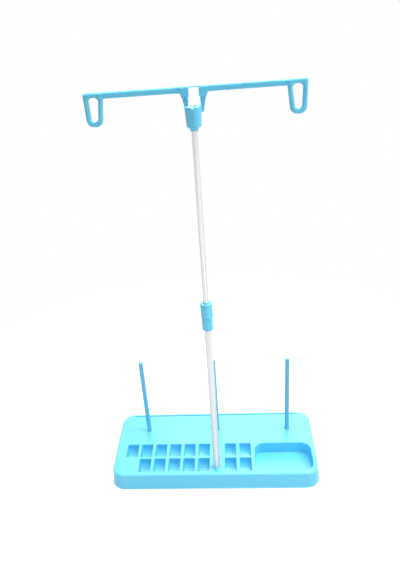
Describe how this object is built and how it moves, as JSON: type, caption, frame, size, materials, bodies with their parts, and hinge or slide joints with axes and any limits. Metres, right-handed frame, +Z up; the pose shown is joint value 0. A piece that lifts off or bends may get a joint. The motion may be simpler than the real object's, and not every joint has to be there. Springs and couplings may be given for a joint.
{
  "type": "thread spool stand",
  "caption": "Moulded base with upright spool pins, bobbin slots and a tray, and a telescoping pole with a swivelling thread guide bar.",
  "frame": {"origin": "on the floor, under the centre of the base", "axes": "+Z up along the pole, +X along the base's length towards the tray, +Y from the slotted front edge to the back where the spool pins stand"},
  "size_m": [0.236, 0.1072, 0.432],
  "materials": {
    "sky_blue_plastic": "moulded sky blue plastic with a soft gloss",
    "pin_blue_plastic": "moulded blue plastic rod, slightly deeper blue",
    "tube_metal": "bright drawn tube",
    "plated_steel": "zinc plated screws",
    "natural_nylon": "natural nylon",
    "rubber": "black rubber pads"
  },
  "bodies": {
    "base": {"base_tray": "sky_blue_plastic", "base_cover": "sky_blue_plastic", "cover_screw_1": "plated_steel", "cover_screw_2": "plated_steel", "cover_screw_3": "plated_steel", "cover_screw_4": "plated_steel", "foot_pad_1": "rubber", "foot_pad_2": "rubber", "foot_pad_3": "rubber", "foot_pad_4": "rubber", "spool_pin_left": "pin_blue_plastic", "spool_pin_centre": "pin_blue_plastic", "spool_pin_right": "pin_blue_plastic", "lower_tube": "tube_metal", "pole_plug": "natural_nylon", "pole_screw": "plated_steel", "lock_sleeve": "sky_blue_plastic", "lock_collet": "natural_nylon"},
    "height_nut": {"lock_nut": "sky_blue_plastic"},
    "mast": {"upper_tube": "tube_metal", "slide_plug": "natural_nylon"},
    "guide": {"guide_bar": "sky_blue_plastic"}
  },
  "joints": [
    {"name": "mast_slide", "type": "slide", "parent": "base", "child": "mast", "axis": [0, 0, 1], "range_m": [-0.158, 0.006]},
    {"name": "nut_turn", "type": "hinge", "parent": "base", "child": "height_nut", "pos_m": [0.0035, -0.0398, 0.2183], "axis": [0, 0, 1], "range_deg": [0, 120]},
    {"name": "guide_swivel", "type": "hinge", "parent": "mast", "child": "guide", "pos_m": [0.0035, -0.0398, 0.4], "axis": [0, 0, 1], "range_deg": [-180, 180]}
  ]
}
